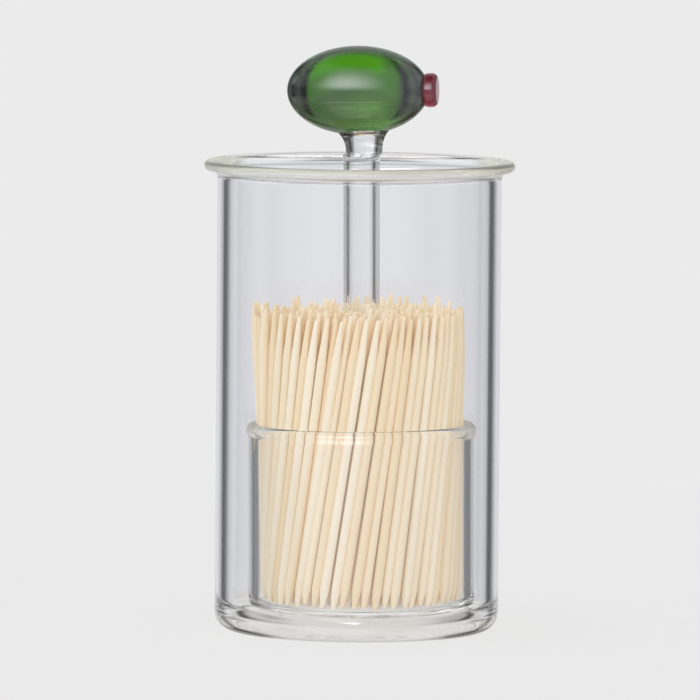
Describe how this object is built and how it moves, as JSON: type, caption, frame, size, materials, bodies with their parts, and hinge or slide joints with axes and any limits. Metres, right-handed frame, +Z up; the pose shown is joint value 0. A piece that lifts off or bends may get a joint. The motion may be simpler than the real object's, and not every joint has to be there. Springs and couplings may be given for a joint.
{
  "type": "toothpick holder",
  "caption": "Clear glass jar with a rolled lip, holding a lift-out glass cup of toothpicks on a stem with a green glass olive as its handle.",
  "frame": {"origin": "on the jar's axis, at the underside of its foot, where it stands", "axes": "+Z up along the jar's axis; +X to the right in the picture, where the olive's red end is, turned a few degrees to the front; -Y is the front in the picture"},
  "size_m": [0.0696, 0.0696, 0.1311],
  "materials": {
    "clear_glass": "clear polished borosilicate glass",
    "green_glass": "transparent green glass, polished",
    "red_glass": "dark red glass, polished",
    "wood": "bare pale bamboo, matt"
  },
  "bodies": {
    "jar": {"outer_jar": "clear_glass"},
    "insert": {"inner_cup": "clear_glass", "lift_stem": "clear_glass", "olive": "green_glass", "pimento": "red_glass", "toothpick_group_1": "wood", "toothpick_group_2": "wood", "toothpick_group_3": "wood", "toothpick_01": "wood", "toothpick_02": "wood", "toothpick_03": "wood", "toothpick_04": "wood", "toothpick_05": "wood", "toothpick_06": "wood", "toothpick_07": "wood", "toothpick_08": "wood", "toothpick_09": "wood", "toothpick_10": "wood", "toothpick_11": "wood", "toothpick_12": "wood", "toothpick_13": "wood", "toothpick_14": "wood", "toothpick_15": "wood", "toothpick_16": "wood", "toothpick_17": "wood", "toothpick_18": "wood", "toothpick_19": "wood", "toothpick_21": "wood", "toothpick_22": "wood", "toothpick_23": "wood", "toothpick_24": "wood", "toothpick_25": "wood", "toothpick_26": "wood", "toothpick_27": "wood", "toothpick_28": "wood", "toothpick_29": "wood", "toothpick_30": "wood", "toothpick_31": "wood", "toothpick_32": "wood", "toothpick_33": "wood", "toothpick_34": "wood", "toothpick_35": "wood", "toothpick_37": "wood", "toothpick_38": "wood", "toothpick_39": "wood", "toothpick_40": "wood", "toothpick_41": "wood", "toothpick_42": "wood", "toothpick_43": "wood", "toothpick_44": "wood", "toothpick_46": "wood", "toothpick_47": "wood", "toothpick_48": "wood", "toothpick_49": "wood", "toothpick_50": "wood", "toothpick_51": "wood", "toothpick_52": "wood"},
    "loose_pick_left": {"toothpick_36": "wood"},
    "loose_pick_right": {"toothpick_45": "wood"},
    "loose_pick_back": {"toothpick_20": "wood"}
  },
  "joints": [
    {"name": "insert_lift", "type": "slide", "parent": "jar", "child": "insert", "axis": [0, 0, 1], "range_m": [0, 0.106]},
    {"name": "loose_pick_left_draw", "type": "slide", "parent": "insert", "child": "loose_pick_left", "axis": [0.1188, -0.0985, 0.988], "range_m": [0, 0.07]},
    {"name": "loose_pick_right_draw", "type": "slide", "parent": "insert", "child": "loose_pick_right", "axis": [0.1327, 0.0756, 0.9883], "range_m": [0, 0.07]},
    {"name": "loose_pick_back_draw", "type": "slide", "parent": "insert", "child": "loose_pick_back", "axis": [-0.1582, -0.0927, 0.983], "range_m": [0, 0.07]}
  ]
}
